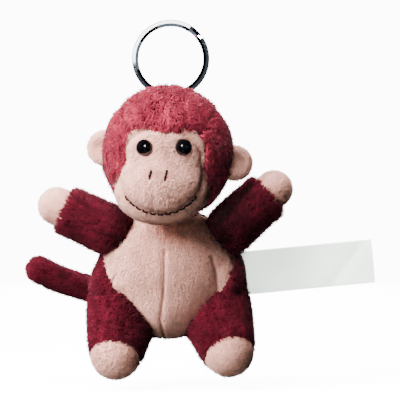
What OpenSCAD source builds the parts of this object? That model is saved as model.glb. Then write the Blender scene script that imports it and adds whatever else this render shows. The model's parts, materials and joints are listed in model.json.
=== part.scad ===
// Stuffed plush monkey on a steel split ring.
// Millimetres, +Z up, the face looks towards -Y. The origin is on the inside of the ring, at its
// top, where a hook or a finger holds it. Left and right are as seen from the front: left is -X.

/* [Split ring] */
// Outer diameter of the split ring
ring_od = 28; // [24:0.5:32]
// Radial width of the ring's wire
wire_w = 2; // [1.5:0.1:2.4]
// Thickness of one of the two turns, along the ring's axis
wire_t = 1.4; // [1:0.1:1.6]
// Inner radius of the fabric loop round the wire
loop_r = 2.2; // [2.1:0.05:2.6]
// Width of the fabric loop
loop_w = 4; // [3:0.5:5]

/* [Head] */
// Half width and half height of the skull
head_r = 22.4; // [21.5:0.1:23]
// Half depth of the skull, front to back
head_depth = 19; // [18:0.1:20]
// Height of the skull's middle
head_z = -46.7; // [-48:0.1:-45]
// Distance of the skull's middle in front of the ring
head_forward = 8.5; // [7.5:0.1:9.5]
// Half width of the muzzle
muzzle_w = 16.4; // [14:0.1:17]
// Half height and half depth of the muzzle
muzzle_h = 12; // [10:0.1:13]
// Diameter of the ears
ear_d = 13; // [11:0.1:15]
// Thickness of the ears
ear_t = 4.4; // [3.5:0.1:5]
// Diameter of the eyes
eye_d = 6; // [5:0.1:7]

/* [Torso] */
// Half width of the torso
torso_w = 26; // [24:0.1:27]
// Half depth of the torso
torso_d = 19.5; // [18:0.1:21]
// Half height of the torso
torso_h = 22.2; // [21:0.1:23]
// Height of the torso's middle
torso_z = -89.3; // [-90:0.1:-88.5]
// Distance of the torso's middle behind the ring
torso_back = 5; // [4:0.1:6]

/* [Limbs] */
// Radius of an arm at the shoulder
shoulder_r = 7.6; // [7:0.1:8]
// Radius of a hand
hand_r = 6.6; // [6:0.1:7]
// Length of an arm from the shoulder's middle to the hand's middle
arm_l = 20.4; // [18:0.1:22]
// Angle of the left arm above the horizontal
arm_left_angle = 23; // [15:1:30]
// Angle of the right arm above the horizontal
arm_right_angle = 41.8; // [35:0.1:45]
// Radius of a leg at the hip
hip_r = 12; // [11:0.1:12.5]
// Radius of a foot
foot_r = 8.3; // [7.5:0.1:9]
// Radius of the tail
tail_r = 3.9; // [3:0.1:4.2]

/* [Fabric and label] */
// Thickness of the plush fabric with its backing
cloth_t = 1; // [0.8:0.1:1.2]
// Width of the satin label
label_w = 16; // [12:0.5:18]
// Length of the label outside the seam
label_l = 48.5; // [40:0.5:55]
// Thickness of the label
label_t = 0.3; // [0.2:0.05:0.5]

/* [Hidden] */
$fn = 96;

crimson = [0.53, 0.13, 0.19];
pink = [0.86, 0.62, 0.58];
filling = [0.93, 0.92, 0.9];
thread = [0.2, 0.09, 0.08];

seam = 0.12;     // gap between two panels along a seam
air = 0.1;       // gap between a cover and its stuffing
joint_gap = 0.35; // gap between pieces that move against each other
far = 60;        // reach of a cutting shape, past everything

head_c = [-1.1, -head_forward, head_z];
muzzle_c = head_c + [-2.4, -12.6, -13.3];
torso_c = [-0.6, torso_back, torso_z];
ring_c = [0, 0, wire_w - ring_od / 2];
loop_c = ring_c - [0, 0, ring_od / 2 - wire_w / 2 + 0.4];

shoulder_left = [-23, -0.5, -74.2];
shoulder_right = [22, -0.5, -73.6];
hip_left = [-17.2, 2, -103];
hip_right = [17.6, 2, -102.6];
foot_left_c = [-20.2, -13.5, -119.6];
foot_right_c = [21.4, -13.5, -118.5];
leg_lift = 12;    // how far a leg lifts about its hip, in degrees

// ---- shapes ----

// An ellipse turned about Z
module spheroid(radius, half_length) {
    rotate_extrude() intersection() {
        scale([radius, half_length]) circle(r = 1);
        translate([0, -far]) square([far, 2 * far]);
    }
}

// Two discs and the straight sides that touch both, from the origin along +Y
module teardrop(r1, r2, length) {
    lean = (r1 - r2) / length;
    across = sqrt(1 - lean * lean);
    circle(r = r1);
    translate([0, length]) circle(r = r2);
    polygon([[r1 * across, r1 * lean], [r2 * across, length + r2 * lean],
             [-r2 * across, length + r2 * lean], [-r1 * across, r1 * lean]]);
}

// The same outline turned about its own axis, from the origin along +Z
module taper(r1, r2, length) {
    rotate_extrude() intersection() {
        teardrop(r1, r2, length);
        translate([0, -far]) square([far, 2 * far]);
    }
}

// Turns +Z onto a direction and moves to a point
module aim(from, to) {
    v = to - from;
    translate(from) rotate([0, acos(v[2] / norm(v)), atan2(v[1], v[0])]) children();
}

// Stands a 2D outline in the XZ plane and extrudes it from y = back to y = front
module front_view(front, back) {
    translate([0, back, 0]) rotate([90, 0, 0]) linear_extrude(height = back - front) children();
}

// ---- split ring and loop ----

module split_ring() {
    color("silver")
    for (side = [-1, 1])
        translate(ring_c + [0, side * (wire_t / 2 + 0.01), 0]) rotate([90, 0, 0])
            rotate_extrude() translate([(ring_od - wire_w) / 2, 0]) wire_section();
}

// A flat wire with rounded long edges
module wire_section() {
    intersection() {
        square([wire_w, wire_t - 0.02], center = true);
        circle(r = wire_w / 2);
    }
}

module ring_loop() {
    color(crimson)
    translate(loop_c) rotate([0, 90, 0]) rotate_extrude()
        translate([loop_r, -loop_w / 2]) square([0.6, loop_w]);
}

// Room for the loop in the back of the crown
module loop_groove() {
    translate(loop_c) rotate([0, 90, 0])
        cylinder(r = loop_r + 0.6 + 2 * joint_gap, h = loop_w + 4, center = true);
}

// ---- head ----

module skull(inset) {
    translate(head_c) rotate([90, 0, 0]) spheroid(head_r - inset, head_depth - inset);
}

module muzzle(inset) {
    translate(muzzle_c) rotate([0, 90, 0]) spheroid(muzzle_h - inset, muzzle_w - inset);
}

module head_form(inset) {
    skull(inset);
    muzzle(inset);
}

module head_skin() {
    difference() {
        head_form(0);
        head_form(cloth_t);
        loop_groove();
        eye_places() cylinder(r = shank_r + air, h = far, center = true);
    }
}

// Outline of the pink face, grown by a small amount for the seam
module face_outline(grow) {
    for (lobe = [[-8.9, -43.4], [4.9, -44.5]]) translate(lobe) circle(r = 7.2 + grow);
    translate([-15.9 - grow, -60]) square([27.6 + 2 * grow, 16.4]);
    translate([muzzle_c[0], muzzle_c[2]]) scale([muzzle_w + 1 + grow, muzzle_h + 1 + grow]) circle(r = 1);
}

// The side of the mouth line where the chin is
mouth_r = 15.7;
mouth_c = [-3.5, -53.4];
mouth_reach = 54; // half the angle that the smile covers
module below_mouth(grow) {
    difference() {
        translate([mouth_c[0] - far, mouth_c[1] - far]) square([2 * far, far - 8 + grow]);
        translate(mouth_c) circle(r = mouth_r - grow);
    }
}

module crown_wedge(grow) {
    translate([head_c[0], head_c[2] - 10.1 - 2 * grow])
        polygon([[0, 0], [far / 1.5, far], [-far / 1.5, far]]);
}

back_seam_y = 0.8; // the crown meets the back panel beside the ring loop
face_back_y = -head_forward - 3;

module head_front() {
    intersection() {
        head_skin();
        translate([-far, back_seam_y - 2 * far - seam, head_z - far]) cube(2 * far);
    }
}

module crown_panel() {
    color(crimson)
    difference() {
        intersection() {
            head_front();
            front_view(-far, far) crown_wedge(-seam / 2);
        }
        front_view(-far, face_back_y) face_outline(seam / 2);
    }
}

module head_side(side) {
    color(crimson)
    difference() {
        intersection() {
            head_front();
            translate([head_c[0] + (side < 0 ? -far : 0), -far, head_z - far])
                translate([side * seam / 2, 0, 0]) cube([far, 2 * far, 2 * far]);
        }
        front_view(-far, far) crown_wedge(seam / 2);
        front_view(-far, face_back_y) face_outline(seam / 2);
    }
}

module head_side_left() { head_side(-1); }
module head_side_right() { head_side(1); }

module head_back_panel() {
    color(crimson)
    difference() {
        skull(0);
        skull(cloth_t);
        loop_groove();
        translate([-far, back_seam_y - 2 * far, head_z - far]) cube(2 * far);
    }
}

module face_panel() {
    color(pink)
    difference() {
        intersection() {
            head_front();
            front_view(-far, face_back_y - seam) face_outline(-seam / 2);
        }
        front_view(-far, far) below_mouth(seam / 2);
    }
}

module chin_panel() {
    color(pink)
    intersection() {
        head_front();
        front_view(-far, face_back_y - seam) face_outline(-seam / 2);
        front_view(-far, far) below_mouth(-seam / 2);
    }
}

module head_stuffing() {
    color(filling)
    difference() {
        head_form(cloth_t + air);
        loop_groove();
        eye_places() {
            cylinder(r = shank_r + air, h = far, center = true);
            translate([0, 0, -washer_depth - 1 - air]) cylinder(r = washer_r + air, h = 1 + 2 * air);
        }
    }
}

// An ear is two domed discs sewn together round the rim, turned a little to the front
module ear(centre, lean, layer) {
    depth = ear_t / 2;
    bow = (pow(ear_d / 2, 2) + pow(depth, 2)) / (2 * depth); // radius of the dome
    color(pink)
    difference() {
        translate(centre) rotate([90 * layer, 0, lean]) intersection() {
            translate([0, 0, depth - bow]) sphere(r = bow);
            translate([-far, -far, seam / 2]) cube(2 * far);
        }
        head_form(-air);
    }
}
ear_left_c = head_c + [-22.6, -1.5, 1.9];
ear_right_c = head_c + [24.3, -1.5, -3.6];
module ear_left_front() { ear(ear_left_c, -8, 1); }
module ear_left_back() { ear(ear_left_c, -8, -1); }
module ear_right_front() { ear(ear_right_c, 8, 1); }
module ear_right_back() { ear(ear_right_c, 8, -1); }

// Eyes: a dome on a shank through the fabric, locked by a washer in the stuffing
shank_r = 1.3;
washer_r = 4;
washer_depth = 2;
eye_left_at = [-8.3, 2];
eye_right_at = [6, 1.8];
function skull_y(dx, dz) =
    -head_depth * sqrt(1 - pow(dx / head_r, 2) - pow(dz / head_r, 2));
function outward(at) = // turn of the skull's surface about Z at a point of the face
    atan2(at[0] / pow(head_r, 2), -skull_y(at[0], at[1]) / pow(head_depth, 2));

module eye_place(at) {
    translate(head_c + [at[0], skull_y(at[0], at[1]), at[1]])
        rotate([0, 0, outward(at)]) rotate([90, 0, 0]) children();
}
module eye_places() {
    eye_place(eye_left_at) children();
    eye_place(eye_right_at) children();
}

module eye(at) {
    color("black")
    eye_place(at) {
        difference() {
            translate([0, 0, 0.35]) scale([1, 1, 0.72]) sphere(r = eye_d / 2);
            translate([0, 0, -far + 0.35]) cylinder(r = eye_d, h = far);
        }
        translate([0, 0, -washer_depth - 3]) cylinder(r = shank_r, h = washer_depth + 4);
    }
}
module eye_left() { eye(eye_left_at); }
module eye_right() { eye(eye_right_at); }

module eye_washer(at) {
    color("white")
    eye_place(at) translate([0, 0, -washer_depth - 1])
        difference() {
            cylinder(r = washer_r, h = 1);
            translate([0, 0, -1]) cylinder(r = shank_r + 0.05, h = 3);
        }
}
module eye_washer_left() { eye_washer(eye_left_at); }
module eye_washer_right() { eye_washer(eye_right_at); }

// Embroidery lies on the muzzle
stitch_r = 0.38;
function on_muzzle(x, z) = // a point just in front of the muzzle's surface
    [x, muzzle_c[1] - (muzzle_h + stitch_r + 0.12)
        * sqrt(1 - pow((x - muzzle_c[0]) / (muzzle_w + 0.5), 2)
                 - pow((z - muzzle_c[2]) / (muzzle_h + 0.5), 2)), z];
module stitch(a, b) { aim(a, b) taper(stitch_r, stitch_r * 0.9, norm(b - a)); }

module nostril_stitches() {
    color(thread)
    for (x = [-7.6, -1.8]) stitch(on_muzzle(x - 0.4, -56.6), on_muzzle(x + 0.5, -53.2));
}

module mouth_stitches() {
    stitches = 11;
    step = 2 * mouth_reach / stitches;
    color(thread)
    for (i = [0:stitches - 1]) {
        a = -90 - mouth_reach + i * step;
        stitch(mouth_point(a + 2), mouth_point(a + step - 2));
    }
}
function mouth_point(a) =
    on_muzzle(mouth_c[0] + mouth_r * cos(a), mouth_c[1] + mouth_r * sin(a));

// ---- torso ----

module torso_body(inset) {
    translate(torso_c) rotate([0, 0, 90])
        scale([torso_d - inset, torso_w - inset, torso_h - inset]) sphere(r = 1);
}

// Room for a leg, which takes the most of it when it is lifted
module hip_room(hip, foot) {
    translate(hip) rotate([-leg_lift, 0, 0]) aim([0, 0, 0], foot - hip)
        taper(hip_r + joint_gap, foot_r + joint_gap, norm(foot - hip));
}

module torso_skin() {
    difference() {
        torso_body(0);
        torso_body(cloth_t);
        translate(head_c) sphere(r = head_r + joint_gap);
        translate(shoulder_left) sphere(r = shoulder_r + joint_gap);
        translate(shoulder_right) sphere(r = shoulder_r + joint_gap);
        hip_room(hip_left, foot_left_c);
        hip_room(hip_right, foot_right_c);
    }
}

belly_r = 23.4;
module belly_outline(grow) {
    translate([torso_c[0], -82.6]) mirror([0, 1]) teardrop(belly_r + grow, 5 + grow, 29);
}

module belly_panel() {
    color(pink)
    intersection() {
        torso_skin();
        front_view(-far, torso_back) belly_outline(-seam / 2);
    }
}

module back_panel(side) {
    color(crimson)
    difference() {
        intersection() {
            torso_skin();
            translate([torso_c[0] + (side < 0 ? -far : 0) + side * seam / 2, -far, torso_z - far])
                cube([far, 2 * far, 2 * far]);
        }
        front_view(-far, torso_back + seam) belly_outline(seam / 2);
    }
}
module back_panel_left() { back_panel(-1); }
module back_panel_right() { back_panel(1); }

module torso_stuffing() {
    color(filling)
    difference() {
        torso_body(cloth_t + air);
        for (shoulder = [shoulder_left, shoulder_right])
            translate(shoulder) sphere(r = shoulder_r + joint_gap + cloth_t);
        for (hip = [hip_left, hip_right])
            translate(hip) sphere(r = hip_r + joint_gap + cloth_t);
    }
}

// ---- arms ----

function hand_c(shoulder, side, angle) = shoulder + arm_l * [side * cos(angle), 0, sin(angle)];
hand_left_c = hand_c(shoulder_left, -1, arm_left_angle);
hand_right_c = hand_c(shoulder_right, 1, arm_right_angle);
cuff = 16.6; // distance of the cuff seam from the shoulder's middle

module limb_skin(r1, r2, length) {
    difference() {
        taper(r1, r2, length);
        taper(r1 - cloth_t, r2 - cloth_t, length);
    }
}

module sleeve(from, to) {
    color(crimson)
    aim(from, to) difference() {
        limb_skin(shoulder_r, hand_r, arm_l);
        translate([0, 0, cuff]) cylinder(r = far, h = far);
    }
}

module hand(from, to) {
    color(pink)
    aim(from, to) intersection() {
        limb_skin(shoulder_r, hand_r, arm_l);
        translate([0, 0, cuff + seam]) cylinder(r = far, h = far);
    }
}

module limb_stuffing(from, to, r1, r2) {
    color(filling)
    aim(from, to) taper(r1 - cloth_t - air, r2 - cloth_t - air, norm(to - from));
}

module sleeve_left() { sleeve(shoulder_left, hand_left_c); }
module sleeve_right() { sleeve(shoulder_right, hand_right_c); }
module hand_left() { hand(shoulder_left, hand_left_c); }
module hand_right() { hand(shoulder_right, hand_right_c); }
module arm_left_stuffing() { limb_stuffing(shoulder_left, hand_left_c, shoulder_r, hand_r); }
module arm_right_stuffing() { limb_stuffing(shoulder_right, hand_right_c, shoulder_r, hand_r); }

// ---- legs ----

module leg_panel(hip, foot) {
    color(crimson)
    aim(hip, foot) difference() {
        limb_skin(hip_r, foot_r, norm(foot - hip));
        translate([0, 0, norm(foot - hip)]) cylinder(r = far, h = far);
    }
}

module foot_cap(hip, foot) {
    color(pink)
    aim(hip, foot) intersection() {
        limb_skin(hip_r, foot_r, norm(foot - hip));
        translate([0, 0, norm(foot - hip) + seam]) cylinder(r = far, h = far);
    }
}

module leg_left_panel() { leg_panel(hip_left, foot_left_c); }
module leg_right_panel() { leg_panel(hip_right, foot_right_c); }
module foot_left() { foot_cap(hip_left, foot_left_c); }
module foot_right() { foot_cap(hip_right, foot_right_c); }
module leg_left_stuffing() { limb_stuffing(hip_left, foot_left_c, hip_r, foot_r); }
module leg_right_stuffing() { limb_stuffing(hip_right, foot_right_c, hip_r, foot_r); }

// ---- tail ----

// It leaves the middle of the back, lies behind the torso and curls up at its tip
tail_root = [-5, 27, -99.5];
tail_tip = [-49.4, 19, -89.8];
tail_bow = 92; // radius of the tail's curve

module tail_form(inset) {
    chord = norm(tail_tip - tail_root);
    half_turn = asin(chord / 2 / tail_bow);
    aim(tail_root, tail_tip) {
        translate([-tail_bow * cos(half_turn), 0, chord / 2])
            rotate([90, 0, 0]) rotate([0, 0, -half_turn])
                rotate_extrude(angle = 2 * half_turn)
                    translate([tail_bow, 0]) circle(r = tail_r - inset);
        sphere(r = tail_r - inset);
        translate([0, 0, chord]) sphere(r = tail_r - inset);
    }
}

module tail_cover() {
    color(crimson)
    difference() {
        tail_form(0);
        tail_form(cloth_t);
    }
}

module tail_stuffing() {
    color(filling) tail_form(cloth_t + air);
}

// ---- label ----

label_root = [26.4, 9.5, -90.7];
label_rise = 5.5; // how far the label points above the horizontal, in degrees

module label() {
    color("white")
    translate(label_root) rotate([0, -label_rise, 0])
        translate([0, -label_t / 2, -label_w / 2]) cube([label_l, label_t, label_w]);
}

split_ring();
ring_loop();
crown_panel();
head_side_left();
head_side_right();
head_back_panel();
face_panel();
chin_panel();
ear_left_front();
ear_left_back();
ear_right_front();
ear_right_back();
eye_left();
eye_right();
eye_washer_left();
eye_washer_right();
nostril_stitches();
mouth_stitches();
head_stuffing();
belly_panel();
back_panel_left();
back_panel_right();
torso_stuffing();
sleeve_left();
hand_left();
arm_left_stuffing();
sleeve_right();
hand_right();
arm_right_stuffing();
leg_left_panel();
foot_left();
leg_left_stuffing();
leg_right_panel();
foot_right();
leg_right_stuffing();
tail_cover();
tail_stuffing();
label();
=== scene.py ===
"""A small stuffed plush monkey on a steel split ring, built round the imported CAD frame.

Lengths are in millimetres until a mesh is made, which turns them into metres. Left and right are
as seen from the front: left is -X. The face looks towards -Y.
"""

import json
import math

import bpy
import numpy as np
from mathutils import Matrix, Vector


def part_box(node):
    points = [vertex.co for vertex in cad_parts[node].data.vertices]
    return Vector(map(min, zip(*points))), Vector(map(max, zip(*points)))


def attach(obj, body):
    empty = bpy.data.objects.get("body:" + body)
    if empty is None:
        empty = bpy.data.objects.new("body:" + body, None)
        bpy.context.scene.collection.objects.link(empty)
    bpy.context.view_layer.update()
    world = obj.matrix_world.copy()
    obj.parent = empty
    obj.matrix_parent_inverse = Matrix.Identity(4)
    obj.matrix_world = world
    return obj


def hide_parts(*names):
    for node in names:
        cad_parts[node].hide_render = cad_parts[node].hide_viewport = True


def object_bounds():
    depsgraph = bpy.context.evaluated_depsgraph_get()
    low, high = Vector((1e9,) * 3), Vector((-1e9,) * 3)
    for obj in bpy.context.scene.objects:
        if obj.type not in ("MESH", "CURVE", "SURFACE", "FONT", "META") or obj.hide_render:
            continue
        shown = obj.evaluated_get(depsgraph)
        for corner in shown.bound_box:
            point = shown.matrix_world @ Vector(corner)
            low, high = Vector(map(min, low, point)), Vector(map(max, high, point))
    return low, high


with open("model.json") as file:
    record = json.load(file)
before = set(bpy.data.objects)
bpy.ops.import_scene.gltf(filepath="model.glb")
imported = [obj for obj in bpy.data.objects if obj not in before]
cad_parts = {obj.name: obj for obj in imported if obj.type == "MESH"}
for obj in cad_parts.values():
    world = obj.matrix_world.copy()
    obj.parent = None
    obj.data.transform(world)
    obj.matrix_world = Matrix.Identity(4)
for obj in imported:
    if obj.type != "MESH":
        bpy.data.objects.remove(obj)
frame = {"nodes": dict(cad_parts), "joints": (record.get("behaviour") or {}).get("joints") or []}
cad_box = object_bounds()
MM = 0.001


def joint_mm(name):
    """Where a joint of the frame turns, in millimetres."""
    found = next(j for j in frame["joints"] if j["name"] == name)
    return np.array(found["pos_m"]) / MM


def box_mm(node):
    low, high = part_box(node)
    return np.array(low) / MM, np.array(high) / MM


def middle(node):
    low, high = box_mm(node)
    return (low + high) / 2


# ---- places and sizes ----

RING_LOW, RING_HIGH = box_mm("split_ring")
RING_C = middle("split_ring")
RING_OUT = (RING_HIGH[0] - RING_LOW[0]) / 2
WIRE_W = RING_HIGH[2]  # the frame's origin is the inside of the ring at its top
WIRE_T = (RING_HIGH[1] - RING_LOW[1]) / 2

SKULL_C = np.array([-1.1, -8.5, -46.7])
SKULL_HALF = np.array([22.6, 18.9, 23.2])
MUZZLE_C = SKULL_C + [-2.2, -12.6, -13.1]
MUZZLE_HALF = np.array([15.6, 11.4, 11.5])
TORSO_C = np.array([-0.6, 5.0, -89.3])
TORSO_HALF = np.array([25.6, 19.1, 22.0])
# the torso's other lobes: centre, half size and how softly it blends in
TORSO_LOBES = [
    (np.array([-1.9, 3.0, -103.3]), np.array([13.0, 14.0, 9.6]), 7.0),
    (np.array([-21.0, 3.0, -96.5]), np.array([7.9, 12.0, 11.0]), 3.0),
    (np.array([20.0, 3.0, -95.0]), np.array([6.8, 12.0, 12.0]), 3.0),
]

SHOULDER = {"left": joint_mm("arm_left_lift"), "right": joint_mm("arm_right_lift")}
HIP = {
    "left": joint_mm("leg_left_lift") + [0.1, 0, 0],
    "right": joint_mm("leg_right_lift") - [2.0, 0, 0],
}
HAND_R, SHOULDER_R = 6.9, 8.2
ARM_L = {"left": 20.4, "right": 21.0}
FOOT_R, HIP_R = 8.5, 12.6
ARM_ANGLE = {"left": 24.3, "right": 41.8}
SIDE = {"left": -1, "right": 1}
CUFF = {"left": 16.7, "right": 17.6}
FOOT = {"left": np.array([-19.6, -13.5, -119.2]), "right": np.array([21.0, -13.5, -118.2])}
HAND = {
    s: SHOULDER[s]
    + ARM_L[s] * np.array([SIDE[s] * math.cos(math.radians(a)), 0, math.sin(math.radians(a))])
    for s, a in ARM_ANGLE.items()
}
TAIL_ROOT, TAIL_TIP = joint_mm("tail_lift"), np.array([-49.4, 19.0, -89.8])
TAIL_R, TAIL_BOW = 4.05, 92.0
EAR_R, EAR_T = 6.4, 2.1
EAR_C = {"left": SKULL_C + [-22.6, -1.5, 1.9], "right": SKULL_C + [24.3, -1.5, -3.6]}
EAR_LEAN = {"left": -8.0, "right": 8.0}
EYE_R = 3.0
EYE_AT = {"left": np.array([-7.9, 1.6]), "right": np.array([6.0, 1.7])}
MOUTH_C, MOUTH_R, MOUTH_REACH = np.array([-3.2, -53.2]), 15.5, 55.0
BACK_SEAM_Y = 0.8
FACE_BACK_Y = SKULL_C[1] - 3
BELLY_TOP, BELLY_LOW = np.array([TORSO_C[0], -82.6]), np.array([TORSO_C[0], -111.6])
BELLY_R, CROTCH_R = 23.4, 5.0
LOOP_Z = -25.4
CLOTH = 0.9
SEAM_HOLD, SEAM_REACH = 1.3, 1.6  # how firmly cloth is held at a seam, and over how many millimetres


# ---- signed distances, in millimetres, negative inside ----


def ellipsoid(p, centre, half):
    q = p - centre
    k0 = np.linalg.norm(q / half, axis=-1)
    k1 = np.linalg.norm(q / half**2, axis=-1)
    return k0 * (k0 - 1) / np.maximum(k1, 1e-9)


def ball(p, centre, radius):
    return np.linalg.norm(p - centre, axis=-1) - radius


def limb(p, a, b, ra, rb):
    """A cone with round ends, from a to b."""
    ba = b - a
    length = np.linalg.norm(ba)
    axis = ba / length
    along = (p - a) @ axis
    across = np.sqrt(np.maximum(((p - a) ** 2).sum(-1) - along**2, 0))
    sine = (ra - rb) / length
    cosine = math.sqrt(1 - sine * sine)
    t = np.clip((along - across * sine / cosine) / length, 0, 1)
    near = np.hypot(along - t * length, across)
    return near - (ra + (rb - ra) * t)


def unit(v):
    return v / np.linalg.norm(v)


def unit_rows(v):
    return v / np.maximum(np.linalg.norm(v, axis=-1, keepdims=True), 1e-12)


def smooth_min(a, b, k):
    h = np.clip(0.5 + 0.5 * (b - a) / k, 0, 1)
    return b + (a - b) * h - k * h * (1 - h)


def smooth_max(a, b, k):
    return -smooth_min(-a, -b, k)


def disc2(x, z, centre, radius):
    return np.hypot(x - centre[0], z - centre[1]) - radius


def bar2(x, z, low, high):
    dx = np.maximum(low[0] - x, x - high[0])
    dz = np.maximum(low[1] - z, z - high[1])
    return np.hypot(np.maximum(dx, 0), np.maximum(dz, 0)) + np.minimum(np.maximum(dx, dz), 0)


def face_outline(p):
    """Seen from the front: two lobes round the eyes over a wide muzzle."""
    x, z = p[..., 0], p[..., 2]
    lobes = smooth_min(disc2(x, z, (-9.1, -44.2), 6.9), disc2(x, z, (5.1, -45.2), 6.7), 5.0)
    lobes = smooth_min(lobes, bar2(x, z, (-12.6, -46), (8.4, -39.2)), 1.5)
    cheeks = bar2(x, z, (-15.4, -60), (11.8, -42.6))
    k = np.hypot((x - MUZZLE_C[0]) / 17.2, (z - MUZZLE_C[2]) / 13.0)
    snout = (k - 1) * 14
    return smooth_min(smooth_min(lobes, cheeks, 1.5), snout, 2.5)


def mouth_line(p):
    """Positive under the smile."""
    return disc2(p[..., 0], p[..., 2], MOUTH_C, MOUTH_R)


def crown_wedge(p):
    x, z = p[..., 0] - SKULL_C[0], p[..., 2] - (SKULL_C[2] - 10.1)
    slope = 1.5
    return (np.abs(x) * slope - z) / math.hypot(1, slope)


def belly_outline(p):
    x, z = p[..., 0], p[..., 2]
    flat = np.stack([x, np.zeros_like(x), z], -1)
    top = np.array([BELLY_TOP[0], 0, BELLY_TOP[1]])
    low = np.array([BELLY_LOW[0], 0, BELLY_LOW[1]])
    return limb(flat, top, low, BELLY_R, CROTCH_R)


def groove(distance, width, depth):
    return depth * np.exp(-((distance / width) ** 2))


def skull_y(at):
    x, z = at / SKULL_HALF[[0, 2]]
    return -SKULL_HALF[1] * math.sqrt(1 - x * x - z * z)


def eye_place(side):
    """The eye's middle on the face and the way it looks."""
    at = EYE_AT[side]
    y = skull_y(at)
    out = np.array([at[0] / SKULL_HALF[0] ** 2, y / SKULL_HALF[1] ** 2, 0])
    return SKULL_C + [at[0], y, at[1]], unit(out)


def head_sdf(p):
    skull = ellipsoid(p, SKULL_C, SKULL_HALF)
    muzzle = ellipsoid(p, MUZZLE_C, MUZZLE_HALF)
    whole = smooth_min(skull, muzzle, 3.5)
    # a hollow for the fabric loop behind the crown
    across = np.hypot(p[..., 1], p[..., 2] - LOOP_Z)
    room = np.maximum(across - 3.5, np.abs(p[..., 0]) - 4)
    return smooth_max(whole, -room, 0.8)


def torso_body(p):
    """An egg with a longer crotch and full hips."""
    body = ellipsoid(p, TORSO_C, TORSO_HALF)
    for centre, half, blend in TORSO_LOBES:
        body = smooth_min(body, ellipsoid(p, centre, half), blend)
    return body


def torso_sdf(p):
    body = torso_body(p)
    body = smooth_max(body, -ball(p, SKULL_C, SKULL_HALF[0] + 0.3), 1.2)
    for side in ("left", "right"):
        body = smooth_max(body, -(arm_sdf(side)(p) - 0.3), 1.2)
        body = smooth_max(body, -(leg_sdf(side)(p) - 0.05), 0.5)
    return body


def arm_sdf(side):
    return lambda p: limb(p, SHOULDER[side], HAND[side], SHOULDER_R, HAND_R)


def leg_sdf(side):
    """The belly lies over the top of the leg, up to the belly's slanting seam."""

    def sdf(p):
        belly = smooth_max(belly_outline(p) + 0.4, p[..., 1] - TORSO_C[1], 1.0)
        return smooth_max(limb(p, HIP[side], FOOT[side], HIP_R, FOOT_R), -belly, 2.5)

    return sdf


def tail_points(count):
    """Points along the bowed tail: it sags in the middle and its tip turns up."""
    chord = TAIL_TIP - TAIL_ROOT
    length = np.linalg.norm(chord)
    along = chord / length
    flat = math.hypot(chord[0], chord[1])
    tilt, turn = math.acos(chord[2] / length), math.atan2(chord[1], chord[0])
    down = np.array([math.cos(tilt) * math.cos(turn), math.cos(tilt) * math.sin(turn), -flat / length])
    half = math.asin(length / 2 / TAIL_BOW)
    angles = np.linspace(-half, half, count)[:, None]
    middle_point = (TAIL_ROOT + TAIL_TIP) / 2 - down * TAIL_BOW * math.cos(half)
    return middle_point + TAIL_BOW * (np.cos(angles) * down + np.sin(angles) * along)


TAIL_LINE = tail_points(25)


def tail_sdf(p):
    near = np.full(p.shape[:-1], 1e9)
    for i, c in enumerate(TAIL_LINE):
        r = TAIL_R + 0.25 * (i / (len(TAIL_LINE) - 1)) ** 3
        near = np.minimum(near, np.linalg.norm(p - c, axis=-1) - r)
    return near


# ---- meshes ----


def surface_net(sdf, low, high, cell):
    """A closed quad mesh where sdf is zero, with its corners moved onto that surface."""
    low, high = np.asarray(low, float), np.asarray(high, float)
    axes = [np.arange(low[i], high[i] + cell, cell) for i in range(3)]
    grid = np.stack(np.meshgrid(*axes, indexing="ij"), -1)
    inside = sdf(grid.reshape(-1, 3)).reshape(grid.shape[:3]) < 0
    n = np.array(inside.shape) - 1
    corner = [
        inside[i : n[0] + i, j : n[1] + j, k : n[2] + k]
        for i in (0, 1)
        for j in (0, 1)
        for k in (0, 1)
    ]
    active = np.any(corner, 0) & ~np.all(corner, 0)
    index = np.full(active.shape, -1)
    index[active] = np.arange(active.sum())
    verts = grid[:-1, :-1, :-1][active] + cell / 2
    faces = []
    back = np.eye(3, dtype=int)
    for axis in range(3):
        u, v = (axis + 1) % 3, (axis + 2) % 3
        step = np.zeros(3, int)
        step[axis] = 1
        first = inside[: n[0] + 1 - step[0], : n[1] + 1 - step[1], : n[2] + 1 - step[2]]
        second = inside[step[0] :, step[1] :, step[2] :]
        for leaving in (True, False):
            cross = (first & ~second) if leaving else (~first & second)
            at = np.argwhere(cross)
            at = at[(at[:, u] > 0) & (at[:, v] > 0) & (at[:, u] < n[u]) & (at[:, v] < n[v])]
            ring = [at, at - back[u], at - back[u] - back[v], at - back[v]]
            quad = np.stack([index[tuple(r.T)] for r in ring], -1)
            faces.append(quad if leaving else quad[:, ::-1])
    faces = np.concatenate(faces)
    for _ in range(7):
        value, slope = sdf(verts), gradient(sdf, verts)
        verts = verts - slope * np.clip(value, -cell, cell)[:, None]
    return verts, faces


def gradient(sdf, p, h=0.02):
    return unit_rows(np.stack([sdf(p + h * e) - sdf(p - h * e) for e in np.eye(3)], -1))


def placed(name, data):
    """An object for some data, linked into the scene."""
    obj = bpy.data.objects.new(name, data)
    bpy.context.scene.collection.objects.link(obj)
    return obj


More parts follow.
